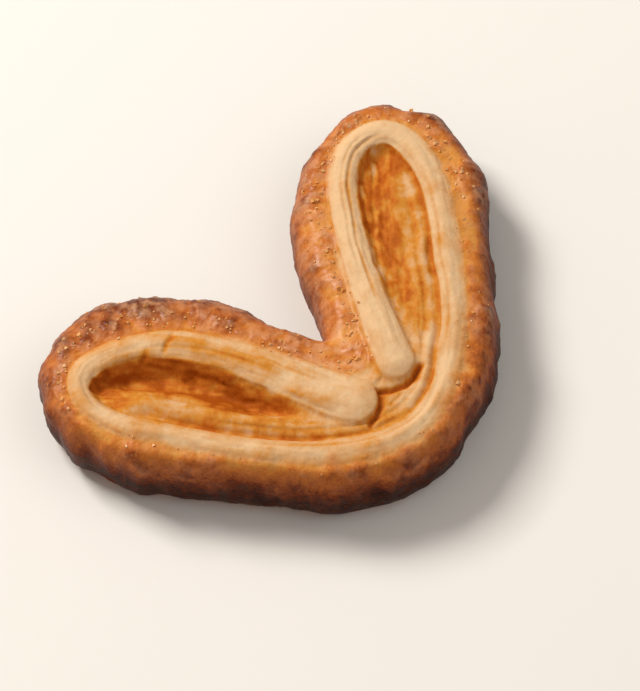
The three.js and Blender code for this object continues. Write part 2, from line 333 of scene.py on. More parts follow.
def outward_normals(points, closed):
    """Unit vectors to the right of a line's direction, from each point's two neighbours."""
    if closed:
        direction = np.roll(points, -1, 0) - np.roll(points, 1, 0)
    else:
        direction = np.gradient(points, axis=0)
    direction /= np.linalg.norm(direction, axis=1, keepdims=True)
    return np.stack([direction[:, 1], -direction[:, 0]], 1)


class Line:
    """A sampled line: its points, outward normals, places and lengths from its start."""

    def __init__(self, points, places, closed=False):
        self.points = points
        self.places = places
        self.closed = closed
        self.normals = outward_normals(points, closed)
        steps = np.linalg.norm(np.diff(points, axis=0), axis=1)
        self.lengths = np.concatenate([[0], np.cumsum(steps)])

    def part(self, first, last):
        """The stretch of the line between two places."""
        kept = (self.places >= first) & (self.places <= last)
        return Line(self.points[kept], self.places[kept])

    def nearest(self, p):
        """Distance from each point of p, positive on the outside, and the nearest sample's number.

        Between samples the distance is measured along the normal. Past an open line's end it is
        measured from the end itself.
        """
        chunks = np.array_split(p, max(1, len(p) // CHUNK))
        squares = [((c[:, None] - self.points) ** 2).sum(-1) for c in chunks]
        number = np.concatenate([s.argmin(1) for s in squares])
        offset = p - self.points[number]
        across = (offset * self.normals[number]).sum(1)
        distance = across
        if not self.closed:
            ends = (number == 0) | (number == len(self.points) - 1)
            signed = np.where(across < 0, -1, 1) * np.linalg.norm(offset, axis=1)
            distance = np.where(ends, signed, across)
        return distance, number


def strip_line():
    """The strip's middle line, curve after curve."""
    t = np.arange(STEPS_PER_CURVE) / STEPS_PER_CURVE
    points = np.concatenate([curve_points(curve, t) for curve in STRIP])
    points = np.vstack([points, STRIP[-1][3]])
    return Line(points, np.arange(len(points)) / STEPS_PER_CURVE)


def loop_line(strip):
    """The strip closed by a straight seam between its two ends."""
    seam = np.linspace(strip.points[-1], strip.points[0], SEAM_STEPS + 1)[1:-1]
    points = np.vstack([strip.points, seam])
    places = np.concatenate([strip.places, np.full(len(seam), STRIP_END)])
    return Line(points, places, closed=True)


STRIP_LINE = strip_line()
LOOP_LINE = loop_line(STRIP_LINE)
OUTSIDE_LINE = STRIP_LINE.part(*OUTSIDE_SPAN)
LEFT_CLEFT_LINE = STRIP_LINE.part(0, OUTSIDE_SPAN[0])
RIGHT_CLEFT_LINE = STRIP_LINE.part(OUTSIDE_SPAN[1], STRIP_END)
LAYER_LINE = STRIP_LINE.part(*LAYER_SPAN)


def waist_points(first, last):
    """The widest outline beside one stretch of the strip: the middle line moved outwards."""
    line = STRIP_LINE.part(first, last)
    turn = line.places / STRIP_END
    lumps = sum(h * np.sin(2 * math.pi * (w * turn + t)) for w, h, t in SIDE_LUMPS)
    reach = along(SIDE_REACH, line.places) + lumps
    return line.points + line.normals * reach[:, None]


def resample(points, cells):
    """Evenly spaced points along a line of points."""
    length = np.concatenate([[0], np.cumsum(np.linalg.norm(np.diff(points, axis=0), axis=1))])
    at = np.linspace(0, length[-1], cells + 1)
    return np.stack([np.interp(at, length, points[:, k]) for k in (0, 1)], 1)


def waist_ring():
    """The widest outline as a closed ring, anticlockwise from the left tip's outer end."""
    left = waist_points(0, LEFT_TOP)[::-1]
    right = waist_points(RIGHT_TOP, STRIP_END)
    apart = np.linalg.norm(left[:, None] - right, axis=2)
    i, j = np.unravel_index(apart.argmin(), apart.shape)
    meeting = (left[i] + right[j]) / 2
    half = CELLS_ALONG // 2
    foot = STRIP_END / 2
    sides = (
        (waist_points(LEFT_OUT, foot), half),
        (waist_points(foot, RIGHT_OUT), half),
        (waist_points(RIGHT_OUT, RIGHT_TOP), CELLS_ACROSS),
        (np.vstack([right[:j], meeting]), half),
        (np.vstack([meeting, left[:i][::-1]]), half),
        (waist_points(LEFT_TOP, LEFT_OUT), CELLS_ACROSS),
    )
    return np.vstack([resample(points, cells)[:-1] for points, cells in sides])


def inward_directions(ring):
    """Unit vectors into the heart from each ring point, evened out between neighbours."""
    direction = -outward_normals(ring, closed=True)
    for _ in range(EVENING_PASSES):
        direction = direction + np.roll(direction, 1, 0) + np.roll(direction, -1, 0)
        direction /= np.linalg.norm(direction, axis=1, keepdims=True)
    return direction


def grid_inside(ring, a, c):
    """Points inside a ring: a cells from tip to tip, and c from the outside to the cleft side.

    The lines across are straight. The bow of each tip, beyond the straight line between its
    ends, is added with a weight that falls as a power towards the other tip.
    """
    ring = np.vstack([ring, ring[:1]])
    outer = ring[: a + 1]
    right_tip = ring[a : a + c + 1]
    cleft = ring[a + c : 2 * a + c + 1][::-1]
    left_tip = ring[2 * a + c :][::-1]
    v = np.linspace(0, 1, c + 1)[:, None, None]
    u = np.linspace(0, 1, a + 1)[None, :, None]
    straight = lerp(outer[None], cleft[None], v)
    left_bow = left_tip[:, None] - straight[:, :1]
    right_bow = right_tip[:, None] - straight[:, -1:]
    return straight + left_bow * (1 - u) ** BOW_POWER + right_bow * u**BOW_POWER


def melted_max(a, b):
    """The higher of two heights, melted together where they are close."""
    near = np.maximum(BLEND - np.abs(a - b), 0) / BLEND
    return np.maximum(a, b) + near * near * BLEND / 4


def ridge(crest, distance, half):
    """A long ridge: a parabola down to its edge and a steep straight fall past it."""
    q = np.abs(distance) / half
    return crest - BAND_ROUNDING * np.minimum(q, 1) ** 2 - np.maximum(q - 1, 0) * half * STEEP


def cleft_distance(p):
    """Distance to the nearer of the two stretches of strip beside the cleft."""
    left = np.abs(LEFT_CLEFT_LINE.nearest(p)[0])
    right = np.abs(RIGHT_CLEFT_LINE.nearest(p)[0])
    return np.minimum(left, right)


def face_fields(p, size):
    """Everything that the cut face's form and colour are worked out from, at each point.

    The height is the highest of the band, the crust, the inner layer and the hollow's floor.
    """
    distance, number = STRIP_LINE.nearest(p)
    place = STRIP_LINE.places[number]
    loop = LOOP_LINE.nearest(p)[0]
    half = along(BAND_HALF, place)
    from_end = np.minimum(place, STRIP_END - place)
    nub = 1 - smoothstep(from_end, 0, NUB_REACH)
    band = ridge(size["thickness"] + size["nub_rise"] * nub, distance, half)
    crust = size["thickness"] - CRUST_DEPTH
    crust = crust - CRUST_SLOPE * np.maximum(loop, 0) - STEEP * np.maximum(-loop, 0)
    from_layer = LAYER_LINE.nearest(p)[0] + LAYER_OFFSET
    layer = ridge(size["thickness"] - LAYER_DEPTH, from_layer, LAYER_HALF)
    outside = np.abs(OUTSIDE_LINE.nearest(p)[0])
    share = outside / (outside + cleft_distance(p))
    deeper = smoothstep(share, *DEEPENS)
    left = lerp(FLOOR_OUTSIDE["left"], size["left_hollow"], deeper)
    right = lerp(FLOOR_OUTSIDE["right"], size["right_hollow"], deeper)
    lobe = smoothstep(np.abs(p[:, 0]), *LOBE_BEGINS)
    depth = lerp(FLOOR_MIDDLE, np.where(p[:, 0] < 0, left, right), lobe)
    turned = (p - PIT["at"]) @ Matrix.Rotation(PIT["angle"], 2)
    pit = np.exp(-2 * ((turned / PIT["half"]) ** 2).sum(1))
    floor = size["thickness"] - depth - PIT["depth"] * pit
    height = band
    for other in (crust, layer, floor):
        height = melted_max(height, other)
    return {
        "height": height,
        "distance": distance,
        "loop": loop,
        "place": place,
        "length": STRIP_LINE.lengths[number],
        "half": half,
        "from_end": from_end,
        "on_layer": 1 - smoothstep(np.abs(from_layer) / LAYER_HALF, *LAYER_EDGE),
        "share": share,
        "lobe": lobe,
    }


def base_height(p):
    """Flat under crust and band, with a shallow hollow inside strip and seam."""
    return BASE_HOLLOW * smoothstep(-LOOP_LINE.nearest(p)[0], *BASE_HOLLOW_EDGE)


def grid_faces(numbers):
    """Quads between the rows and columns of a grid of vertex numbers."""
    corners = (numbers[:-1, :-1], numbers[:-1, 1:], numbers[1:, 1:], numbers[1:, :-1])
    return np.stack(corners, -1).reshape(-1, 4)


def border(grid):
    """The rim of a grid, anticlockwise from its first corner, each point once."""
    return np.concatenate([grid[0, :-1], grid[:-1, -1], grid[-1, :0:-1], grid[:0:-1, 0]])


def stitch(fine, coarse):
    """Triangles between two closed rings, the inner with one vertex for every two of the outer."""
    first, middle = fine[0::2], fine[1::2]
    last, after = np.roll(first, -1), np.roll(coarse, -1)
    kinds = ((coarse, first, middle), (coarse, middle, after), (after, middle, last))
    return np.concatenate([np.stack(corners, -1) for corners in kinds])


def side_rows(waist, inward, face_inset, rim, waist_height):
    """Rows down the side: a quarter of an ellipse from the rim to the waist, and one to the base."""
    upper = np.linspace(math.pi / 2, 0, UPPER_ROWS + 1)[1:]
    lower = np.linspace(0, -math.pi / 2, LOWER_ROWS + 1)[1:]
    rows = []
    for turn in (*upper, *lower):
        inset = face_inset if turn >= 0 else BASE_EDGE_INSET
        p = waist + inward * inset * (1 - math.cos(turn))
        end = rim if turn >= 0 else np.zeros(len(waist))
        rows.append(np.column_stack([p, lerp(waist_height, end, abs(math.sin(turn)))]))
    return rows


def pastry_body(size):
    """The smooth closed form: face grid, side rows and a coarser base grid.

    Returns its vertices, quads and triangles, each vertex's place on the face's grid in
    millimetres, and the middle of the outline.
    """
    waist = waist_ring()
    inward = inward_directions(waist)
    least, share = FACE_INSET
    face_inset = (least + share * STRIP_LINE.nearest(waist)[0])[:, None]
    face = grid_inside(waist + inward * face_inset, CELLS_ALONG, CELLS_ACROSS)
    face_z = face_fields(face.reshape(-1, 2), size)["height"].reshape(face.shape[:2])
    rows = side_rows(waist, inward, face_inset, border(face_z), size["waist"])
    inner = (waist + inward * (BASE_EDGE_INSET + BASE_SEAM))[::BASE_STEP]
    base = grid_inside(inner, CELLS_ALONG // BASE_STEP, CELLS_ACROSS // BASE_STEP)
    base_z = base_height(base.reshape(-1, 2)).reshape(base.shape[:2])
    grids = [np.dstack([face, face_z]), np.dstack([base, base_z])]
    vertices = np.vstack([*(grid.reshape(-1, 3) for grid in grids), *rows])

    face_numbers = np.arange(face_z.size).reshape(face_z.shape)
    base_numbers = face_z.size + np.arange(base_z.size).reshape(base_z.shape)
    side = np.arange(face_z.size + base_z.size, len(vertices)).reshape(len(rows), -1)
    rings = np.vstack([border(face_numbers), side])
    rings = np.hstack([rings, rings[:, :1]])
    quads = np.vstack([
        grid_faces(face_numbers),
        grid_faces(base_numbers)[:, ::-1],
        grid_faces(rings)[:, ::-1],
    ])
    triangles = stitch(side[-1], border(base_numbers))[:, ::-1]
    face_places = grid_place(face_z.shape)
    rim_places = face_places[border(face_numbers)]
    places = np.vstack([face_places, grid_place(base_z.shape), *[rim_places] * len(rows)])
    return vertices, quads, triangles, places, (waist.max(0) + waist.min(0)) / 2


def grid_place(shape):
    """Each grid vertex's place in millimetres: along the heart from tip to tip, and across it."""
    rows, columns = np.indices(shape)
    spans = np.array(GRID_SPANS) / (shape[1] - 1, shape[0] - 1)
    return np.stack([columns, rows], -1).reshape(-1, 2) * spans


def vertex_normals(vertices, faces):
    """Unit normals: the sum of the neighbouring faces' own normals."""
    a, b, c, d = (vertices[faces[:, k]] for k in range(4))
    normal = np.cross(c - a, d - b)
    total = np.zeros_like(vertices)
    for k in range(4):
        np.add.at(total, faces[:, k], normal)
    return total / np.linalg.norm(total, axis=1, keepdims=True)


def layer_line_depth(fields):
    """How deep the thin lines between the strip's layers are: a bell across each line.

    Each line fades in and out at its two ends and wanders a little to both sides.
    """
    total = np.zeros(len(fields["place"]))
    along_strip = np.outer(fields["length"], (1, 0, 0))
    wander = lattice_noise(along_strip, LINE_WANDER["cell"], LINE_WANDER["seed"])
    offset_from_line = fields["distance"] + LINE_WANDER["height"] * wander
    for first, last, offset, depth, half in LAYER_LINES:
        fade = smoothstep(fields["place"], first, first + LINE_FADE)
        fade = fade * (1 - smoothstep(fields["place"], last - LINE_FADE, last))
        total += depth * fade * np.exp(-(((offset_from_line - offset) / half) ** 2))
    return total


def crack_depth(p):
    """How deep the cracks are at each point: a bell across each crack."""
    total = np.zeros(len(p))
    for points, depth, half in CRACKS:
        steps = resample(np.array(points, float), CRACK_STEPS)
        distance = np.abs(Line(steps, np.arange(len(steps))).nearest(p)[0])
        total = np.maximum(total, depth * np.exp(-((distance / half) ** 2)))
    return total


def surface_noises(spaces):
    """The irregularities of rolled, sugared and baked pastry, each from about -1 to 1."""
    noise = {}
    for name, (space, stretch, cell, seed, octaves) in NOISES.items():
        noise[name] = layered_noise(spaces[space] * stretch, cell, seed, octaves)
    noise["veins"] = 1 - VEIN_SHARPNESS * np.abs(noise["veins"])
    return noise


def mixed(noise, weights):
    """The sum of the named noises, each times its weight."""
    return sum(weight * noise[name] for name, weight in weights.items())


def surface_parts(z, up, fields, noise):
    """How far each point belongs to each part of the surface, from 0 to 1.

    Crust, band and floor share the cut face. Deep is a lobe's hollow beside the cleft, level is
    ground that faces up or down, top faces up, and wall is the dark lower side. Way is how far
    out the crust has gone from the band to the rim. Streaked is clear of the strip's two ends.
    """
    place, loop, half = fields["place"], fields["loop"], fields["half"]
    edge = loop + mixed(noise, CRUST_WANDER)
    crust = smoothstep(edge, along(CRUST_BEGINS, place) * half, half + CRUST_REACH)
    reach = np.abs(fields["distance"]) + BAND_WANDER * noise["streaks"]
    band = 1 - smoothstep(reach / half, *BAND_EDGE)
    level = smoothstep(np.abs(up), *LEVEL_TILT)
    upright = 1 - level * np.where(up > 0, 1, UNDERSIDE_LEVEL)
    inner = CRUST_INNER_EDGE * half
    return {
        "crust": crust,
        "band": band,
        "floor": (1 - crust) * (1 - band),
        "deep": fields["lobe"] * smoothstep(fields["share"], *DEEP_EDGE),
        "level": level,
        "top": smoothstep(up, *TOP_TILT),
        "wall": (1 - smoothstep(z + mixed(noise, WALL_WANDER), *WALL_HEIGHT)) * upright,
        "way": np.clip((loop - inner) / (along(SIDE_REACH, place) - inner), 0, 1),
        "streaked": smoothstep(fields["from_end"], 0, STREAKS_SET_IN),
    }


def surface_marks(p, fields, top):
    """Depths of the layers' lines, the cracks and the groove beside the band, on the cut face."""
    across = (fields["loop"] - fields["half"] - VALLEY_OFFSET) / VALLEY_HALF
    return {
        "lines": layer_line_depth(fields) * top,
        "cracks": crack_depth(p) * top,
        "valley": along(VALLEY_DEPTH, fields["place"]) * np.exp(-(across**2)) * top,
    }


def fine_relief(z, up, noise, parts, marks):
    """How far the relief lifts each point: lumpy crust, roped band and torn floor less marks."""
    roped = BAND_STREAKS * noise["streaks"] * parts["streaked"] + mixed(noise, BAND_RELIEF)
    torn = lerp(*FLOOR_FIBRES, parts["deep"]) * noise["fibres"] + mixed(noise, FLOOR_RELIEF)
    torn -= FLOOR_VEINS * np.clip(noise["veins"], 0, 1) * parts["deep"]
    lift = parts["crust"] * mixed(noise, CRUST_RELIEF)
    lift += (1 - parts["crust"]) * parts["band"] * roped * parts["level"]
    lift += parts["floor"] * torn * parts["top"]
    lift *= np.where(up < 0, smoothstep(z, *BASE_SMOOTH), 1)
    return lift - sum(marks.values())


def crust_toast(place, noise, parts, marks):
    """How brown the crust is: by its place and way out, darker in spots, darker down the side from
    browning with painted shade, and with painted shade in the groove beside the band.
    """
    wall = parts["wall"]
    toast = along(CRUST_TOAST, place) * smoothstep(parts["way"], *WAY_TO_MIDDLE)
    toast = lerp(toast, along(RIM_TOAST, place), smoothstep(parts["way"], *WAY_TO_RIM))
    # The lower side darkens towards the floor: browning with painted shade.
    toast += along(WALL_TOAST_AND_SHADE, place) * wall
    rim_spots = smoothstep(mixed(noise, RIM_SPOTS), *RIM_SPOT_EDGE)
    toast += RIM_SPOT_TOAST * smoothstep(parts["way"], *RIM_SPOT_WAY) * rim_spots * (1 - wall)
    spots = mixed(noise, CRUST_SPOTS) * lerp(SPOTS_ON_SLOPE, 1, parts["level"])
    toast += spots * lerp(1, SPOTS_ON_WALL, wall)
    # The groove beside the band gets painted shade.
    toast += CRACK_TOAST * np.clip(marks["cracks"], 0, 1) + VALLEY_SHADE * marks["valley"]
    return np.clip(toast, 0, lerp(MOST_TOAST, 1, wall))


def crumb_gold(p, fields, noise, parts, marks):
    """How golden the cut layers are: the pale band, the inner layer and the hollows' floor."""
    band = along(BAND_CRUMB, fields["place"])
    band += BAND_EDGE_CRUMB * (fields["distance"] / fields["half"]) ** 2
    band += np.clip(LINE_CRUMB["band"] * marks["lines"], *LINE_CRUMB_LIMITS)
    band += BAND_STREAKS * noise["streaks"] * parts["streaked"] + mixed(noise, BAND_SPOTS)

    lobe, deep, left = fields["lobe"], parts["deep"], p[:, 0] < 0
    deep_crumb = np.where(left, FLOOR_CRUMB["left_deep"], FLOOR_CRUMB["right_deep"])
    floor = lerp(lerp(FLOOR_CRUMB["middle"], FLOOR_CRUMB["lobe"], lobe), deep_crumb, deep)
    floor = lerp(floor, lerp(LAYER_CRUMB["middle"], LAYER_CRUMB["lobe"], lobe), fields["on_layer"])
    floor += lerp(*FIBRE_CRUMB, deep) * noise["fibres"]
    floor += VEIN_CRUMB * np.clip(noise["veins"], 0, 1) * deep
    deep_mottle = np.where(left, FLOOR_MOTTLE["left_deep"], FLOOR_MOTTLE["usual"])
    floor += lerp(FLOOR_MOTTLE["usual"], deep_mottle, deep) * noise["mottle"]
    floor += mixed(noise, FLOOR_SPOTS) + LINE_CRUMB["floor"] * marks["lines"]
    return np.clip(lerp(floor, band, parts["band"]) + marks["cracks"], 0, 1)


def melted_sugar(p, place, noise, parts):
    """How much melted sugar lies on the crust: less on slopes, hardly any on the dark side."""
    from_glaze = np.linalg.norm(p - CLEFT_GLAZE["at"], axis=1) / CLEFT_GLAZE["reach"]
    sugar = along(SUGARED, place) + mixed(noise, SUGAR_SPOTS)
    sugar += CLEFT_GLAZE["sugar"] * np.exp(-(from_glaze**2))
    sugar *= parts["crust"] * lerp(SUGAR_ON_SLOPE, 1, parts["level"])
    return np.clip(sugar * (1 - SUGAR_OFF_WALL * parts["wall"]), 0, 1)


def pastry_surface(size):
    """The pastry in full: the smooth form, its fine relief and what its colours depend on."""
    vertices, quads, triangles, grid_places, middle = pastry_body(size)
    normals = vertex_normals(vertices, np.vstack([quads, triangles[:, [0, 1, 2, 2]]]))
    p, z, up = vertices[:, :2], vertices[:, 2], normals[:, 2]
    fields = face_fields(p, size)
    noise = surface_noises({
        "body": vertices,
        "strip": np.column_stack([fields["length"], fields["distance"], z]),
        "grid": np.column_stack([grid_places, z]),
    })
    parts = surface_parts(z, up, fields, noise)
    marks = surface_marks(p, fields, parts["top"])
    moved = vertices + normals * fine_relief(z, up, noise, parts, marks)[:, None]
    moved[:, 2] = np.maximum(moved[:, 2], 0)
    moved[:, :2] -= middle
    attributes = {
        "sugar": melted_sugar(p, fields["place"], noise, parts),
        "toast": crust_toast(fields["place"], noise, parts, marks),
        "crumb": crumb_gold(p, fields, noise, parts, marks),
        "crust": parts["crust"],
    }
    return moved * MM, quads.tolist() + triangles.tolist(), attributes


def crystals(points, normals, sizes, rng):
    """Angular grains half sunk in a surface: cubes with moved corners, turned at random.

    The turn is a random orthogonal matrix for each grain, from the factorisation of a matrix of
    random numbers.
    """
    corners = np.array(list(itertools.product((-0.5, 0.5), repeat=3)))
    shifts = rng.uniform(-GRAIN_CORNER_SHIFT, GRAIN_CORNER_SHIFT, (len(points), *corners.shape))
    turns = np.linalg.qr(rng.normal(size=(len(points), 3, 3)))[0]
    turns[:, :, 0] *= np.linalg.det(turns)[:, None]
    grains = np.einsum("gij,gkj->gki", turns, corners + shifts) * sizes[:, None, None]
    centres = points + normals * (GRAIN_LIFT * sizes)[:, None]
    faces = np.array(CUBE_SIDES) + len(corners) * np.arange(len(points))[:, None, None]
    return (grains + centres[:, None]).reshape(-1, 3), faces.reshape(-1, 4).tolist()


def linear(code):
    """A linear colour with alpha from an sRGB hex code such as "#C98A48"."""
    parts = [int(code[k : k + 2], 16) / 255 for k in (1, 3, 5)]
    return (*(c / 12.92 if c <= 0.04045 else ((c + 0.055) / 1.055) ** 2.4 for c in parts), 1.0)


def add_node(tree, kind, settings=None, inputs=None):
    """Adds a node. Settings are its own properties, and "ramp" is a ramp's list of (place, colour).

    Inputs are values for its sockets, or other nodes' outputs to link to them.
    """
    node = tree.nodes.new(kind)
    for name, value in (settings or {}).items():
        if name == "ramp":
            ramp = node.color_ramp.elements
            while len(ramp) < len(value):
                ramp.new(1)
            for element, (place, colour) in zip(ramp, value):
                element.position = place
                element.color = colour
        else:
            setattr(node, name, value)
    for name, value in (inputs or {}).items():
        if isinstance(value, bpy.types.NodeSocket):
            tree.links.new(value, node.inputs[name])
        else:
            node.inputs[name].default_value = value
    return node


def new_material(name):
    """An empty node material and its tree."""
    material = bpy.data.materials.new(name)
    material.use_nodes = True
    material.node_tree.nodes.clear()
    return material, material.node_tree


def calculated(tree, operation, *values):
    """The output of a sum, a product or another calculation with values or sockets."""
    inputs = dict(enumerate(values))
    return add_node(tree, "ShaderNodeMath", {"operation": operation}, inputs).outputs[0]


def mapped(tree, value, old, new=(0, 1)):
    """A value moved from one range to another and held inside it."""
    return add_node(tree, "ShaderNodeMapRange", None, {
        "Value": value, "From Min": old[0], "From Max": old[1], "To Min": new[0], "To Max": new[1],
    }).outputs[0]


def fine_noise(tree, position, scale):
    """Noise from 0 to 1, about 0.5 on average, with finer layers on it."""
    return add_node(tree, "ShaderNodeTexNoise", None, {
        "Vector": position, "Scale": scale, "Detail": 2, "Roughness": 0.5,
    }).outputs["Fac"]


def ramp_colour(tree, amount, noise, shift, ramp, colours):
    """The colour on a ramp at an amount that noise of average 1 shifts to both sides."""
    spot = mapped(tree, calculated(tree, "MULTIPLY_ADD", noise, shift, amount), (shift, 1 + shift))
    stops = [(place, linear(colours[name])) for place, name in ramp]
    return add_node(tree, "ShaderNodeValToRGB", {"ramp": stops}, {"Fac": spot}).outputs["Color"]


def mixed_colour(tree, share, first, second):
    """A colour the given share of the way from the first to the second."""
    inputs = {0: share, 6: first, 7: second}
    return add_node(tree, "ShaderNodeMix", {"data_type": "RGBA"}, inputs).outputs[2]


def baked_pastry_material(colours):
    """Puff pastry, rolled with sugar, sliced and baked: pale matt layers and caramelised crust.

    Two ramps hold the colours: crumb on the cut layers and crust outside them. Fine mottling
    and freckles shift where on the ramp each spot lies.
    """
    material, tree = new_material("baked_puff_pastry")
    position = add_node(tree, "ShaderNodeTexCoord").outputs["Object"]
    crumb, toast, crust, sugar = (
        add_node(tree, "ShaderNodeAttribute", {"attribute_name": name}).outputs["Fac"]
        for name in ("crumb", "toast", "crust", "sugar"))
    mottle = fine_noise(tree, position, 620)
    both = calculated(tree, "ADD", mottle, fine_noise(tree, position, 1900))
    crumb_colour = ramp_colour(tree, crumb, both, CRUMB_SHIFT, CRUMB_RAMP, colours)
    crust_colour = ramp_colour(tree, toast, both, CRUST_SHIFT, CRUST_RAMP, colours)
    baked = mixed_colour(tree, crust, crumb_colour, crust_colour)
    # Melted sugar pales the crust in soft small patches.
    patches = mapped(tree, fine_noise(tree, position, 520), (0.42, 0.66), (0, 0.75))
    patches = calculated(tree, "MULTIPLY", patches, sugar)
    colour = mixed_colour(tree, patches, baked, linear(colours["sugar"]))
    gloss = mapped(tree, mottle, (0.35, 0.65), (0.52, 0.36))
    roughness = add_node(tree, "ShaderNodeMix", {"data_type": "FLOAT"},
                         {0: crust, 2: 0.6, 3: gloss}).outputs[0]
    glaze = calculated(tree, "MULTIPLY", sugar, 0.4)
    bump_strength = calculated(tree, "MULTIPLY_ADD", crust, 0.35, 0.25)
    bump = add_node(tree, "ShaderNodeBump", None, {
        "Height": both, "Strength": bump_strength, "Distance": 0.0002}).outputs["Normal"]
    shader = add_node(tree, "ShaderNodeBsdfPrincipled", None, {
        "Base Color": colour, "Roughness": roughness, "Normal": bump, "IOR": 1.45,
        "Specular IOR Level": 0.08, "Coat Weight": glaze, "Coat Roughness": 0.3,
        "Subsurface Weight": 0.08, "Subsurface Radius": (0.004, 0.002, 0.001),
        "Subsurface Scale": 0.3,
    }).outputs["BSDF"]
    add_node(tree, "ShaderNodeOutputMaterial", None, {"Surface": shader})
    return material


def baked_sugar_material(colours):
    """Grains of sugar that caramelised in the oven: pale, a little see-through and glossy."""
    material, tree = new_material("baked_sugar")
    browned = add_node(tree, "ShaderNodeAttribute", {"attribute_name": "browned"}).outputs["Fac"]
    colour = mixed_colour(tree, browned, linear(colours["grain"]), linear(colours["tan"]))
    shader = add_node(tree, "ShaderNodeBsdfPrincipled", None, {
        "Base Color": colour, "Roughness": 0.35, "IOR": 1.5, "Specular IOR Level": 0.4,
        "Subsurface Weight": 0.2, "Subsurface Radius": (0.001, 0.0006, 0.0003),
        "Subsurface Scale": 0.5,
    }).outputs["BSDF"]
    add_node(tree, "ShaderNodeOutputMaterial", None, {"Surface": shader})
    return material


def new_object(name, vertices, faces, material, smooth=True):
    """A mesh object at the origin, with its place in its mesh."""
    mesh = bpy.data.meshes.new(name)
    mesh.from_pydata(vertices.tolist(), [], faces)
    mesh.polygons.foreach_set("use_smooth", np.full(len(faces), smooth))
    mesh.materials.append(material)
    mesh.update()
    piece = bpy.data.objects.new(name, mesh)
    bpy.context.scene.collection.objects.link(piece)
    return piece


def add_attribute(piece, name, values):
    """Gives each vertex of a piece a number that its material reads by name."""
    layer = piece.data.attributes.new(name, "FLOAT", "POINT")
    layer.data.foreach_set("value", values.astype(np.float32))


def stored(items, field, width=1):
    """A field of some mesh items, as an array with a row for each item where it is wider than 1."""
    values = np.empty(len(items) * width)
    items.foreach_get(field, values)
    return values if width == 1 else values.reshape(-1, width)


LENGTH = {"unit": "LENGTH", "subtype": "DISTANCE", "precision": 4}


class PalmierSizes(bpy.types.PropertyGroup):
    """Driving sizes of the pastry."""

    thickness: bpy.props.FloatProperty(
        name="Thickness", description="From the base to the pale band's crest",
        default=0.015, **LENGTH)
    waist: bpy.props.FloatProperty(
        name="Waist height", description="Height at which the side stands out furthest",
        default=0.007, **LENGTH)
    nub_rise: bpy.props.FloatProperty(
        name="End rise", description="How far the strip's two ends stand above the crest",
        default=0.0009, **LENGTH)
    left_hollow: bpy.props.FloatProperty(
        name="Left hollow", description="Depth of the left lobe's hollow beside the cleft",
        default=0.004, **LENGTH)
    right_hollow: bpy.props.FloatProperty(
        name="Right hollow", description="Depth of the right lobe's hollow beside the cleft",
        default=0.0021, **LENGTH)


class SugarSettings(bpy.types.PropertyGroup):
    """Number and size of the sugar's grains."""

    grains: bpy.props.IntProperty(
        name="Grains", description="Number of grains on the crust", default=300, min=0)
    grain_size: bpy.props.FloatProperty(
        name="Grain size", description="Usual width of a grain", default=0.00028, **LENGTH)
    seed: bpy.props.IntProperty(
        name="Seed", description="Picks another scatter of the grains", default=8)


class PalmierColours(bpy.types.PropertyGroup):
    """Colours of the cut layers and of the crust, as sRGB hex codes."""

    cream: bpy.props.StringProperty(
        name="Cream", description="The palest streaks of the band", default="#E4BF92")
    straw: bpy.props.StringProperty(
        name="Straw", description="The pale band", default="#DAAA76")
    gold: bpy.props.StringProperty(
        name="Gold", description="The inner layers", default="#D18B35")
    amber: bpy.props.StringProperty(
        name="Amber", description="The hollows' floor", default="#C0691E")
    deep_amber: bpy.props.StringProperty(
        name="Deep amber", description="Cracks and the deepest floor", default="#A4500F")
    sugar: bpy.props.StringProperty(
        name="Sugar", description="Sugar that melted on the crust", default="#E2A97C")
    grain: bpy.props.StringProperty(
        name="Grain", description="Grains of sugar", default="#EBC595")
    tan: bpy.props.StringProperty(
        name="Tan", description="Crust beside the band", default="#DD9748")
    copper: bpy.props.StringProperty(
        name="Copper", description="Lightly browned crust", default="#CD7932")
    chestnut: bpy.props.StringProperty(
        name="Chestnut", description="Well browned crust", default="#B0602A")
    brown: bpy.props.StringProperty(
        name="Brown", description="The side's upper part", default="#74310F")
    # Partly painted shade: the darkest crust colour, reached mostly on the lower side.
    burnt_and_shade: bpy.props.StringProperty(
        name="Burnt", description="The side's darkest spots", default="#32140A")


class StageSettings(bpy.types.PropertyGroup):
    """Camera and light of the plain studio."""

    azimuth: bpy.props.FloatProperty(
        name="Azimuth", description="Camera's turn round the pastry from looking along +Y",
        default=math.radians(-38), unit="ROTATION", subtype="ANGLE")
    elevation: bpy.props.FloatProperty(
        name="Elevation", description="Camera's angle above the floor",
        default=math.radians(59.3), unit="ROTATION", subtype="ANGLE")
    roll: bpy.props.FloatProperty(
        name="Roll", description="Camera's turn about its own line of sight",
        default=math.radians(4.7), unit="ROTATION", subtype="ANGLE")
    distance: bpy.props.FloatProperty(
        name="Distance", description="From the camera to the pastry", default=1.16, **LENGTH)
    lens: bpy.props.FloatProperty(
        name="Lens", description="Focal length in millimetres", default=400)
    floor_colour: bpy.props.StringProperty(
        name="Floor", description="The pale floor", default="#F4F2EE")


def sizes_in_millimetres():
    """The driving sizes as plain numbers in millimetres."""
    sizes = bpy.context.scene.palmier_sizes
    return {name: getattr(sizes, name) / MM for name in PalmierSizes.__annotations__}


def colour_codes():
    """The colour codes by name."""
    colours = bpy.context.scene.palmier_colours
    return {name: getattr(colours, name) for name in PalmierColours.__annotations__}


class PALMIER_OT_pastry(bpy.types.Operator):
    """Build the pastry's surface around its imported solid"""

    bl_idname = "palmier.pastry"
    bl_label = "Pastry"

    def execute(self, context):
        vertices, faces, attributes = pastry_surface(sizes_in_millimetres())
        material = baked_pastry_material(colour_codes())
        piece = new_object("palmier_pastry", vertices, faces, material)
        for name, values in attributes.items():
            add_attribute(piece, name, values)
        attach(piece, "root")
        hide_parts("palmier")
        return {"FINISHED"}


